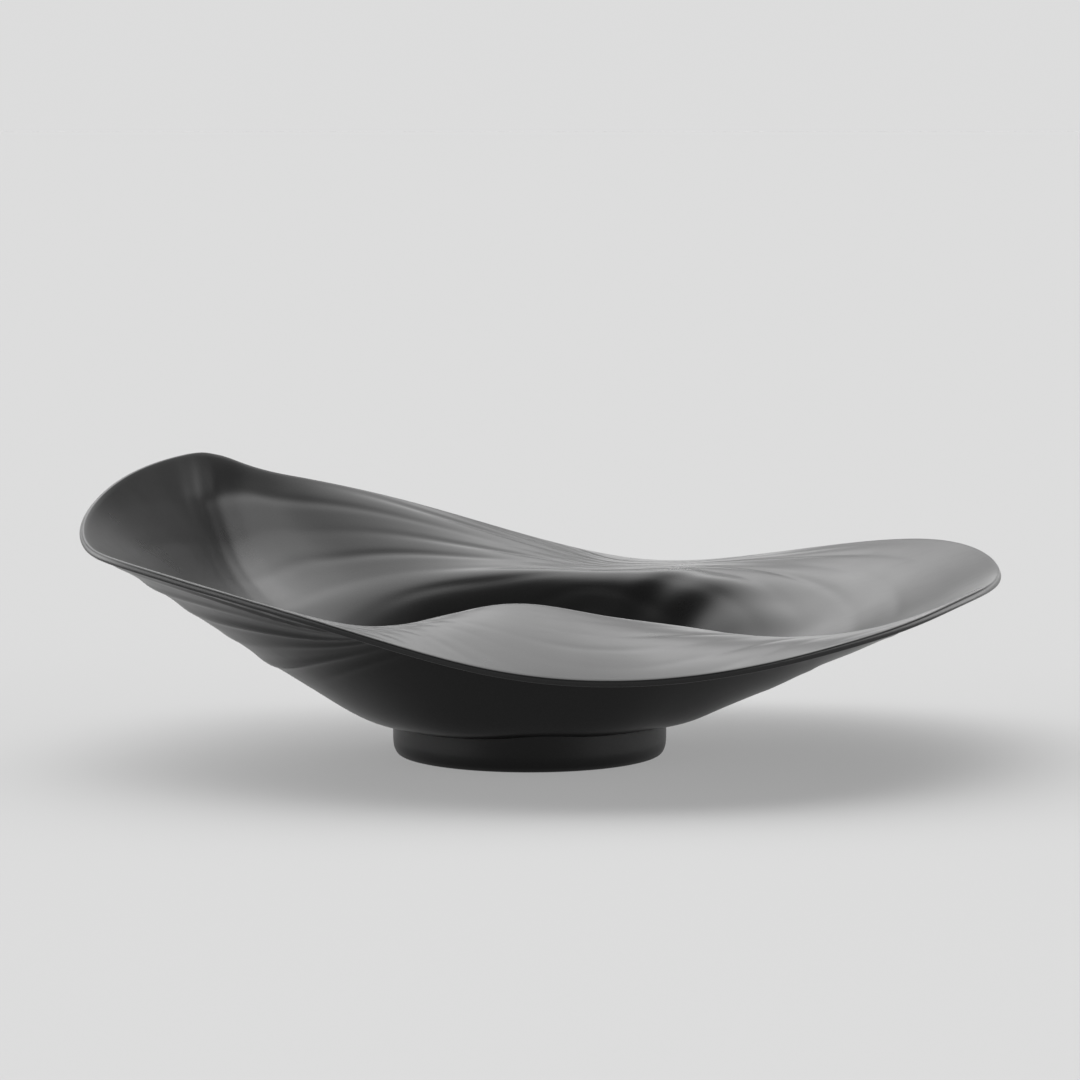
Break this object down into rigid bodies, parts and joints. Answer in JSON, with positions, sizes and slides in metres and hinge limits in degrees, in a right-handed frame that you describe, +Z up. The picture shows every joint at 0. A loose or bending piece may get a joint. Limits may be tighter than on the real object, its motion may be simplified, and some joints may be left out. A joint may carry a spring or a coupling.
{
  "type": "footed serving bowl",
  "caption": "Matt black free-form serving bowl: a thin wavy saddle-shaped shell with a pointed high corner and draped ripples, on a round foot ring.",
  "frame": {"origin": "on the ground plane, at the middle of the foot ring", "axes": "+X along the bowl's length towards its rounded low tip, -X towards the high wing with the pointed corner, +Y towards the far side where that corner is, +Z up"},
  "size_m": [0.4388, 0.3292, 0.1335],
  "materials": {
    "shell_black": "satin matt, very fine grain",
    "foot_black": "satin matt, a little smoother"
  },
  "bodies": {
    "root": {"bowl_shell": "shell_black", "foot_ring": "foot_black"}
  },
  "joints": []
}
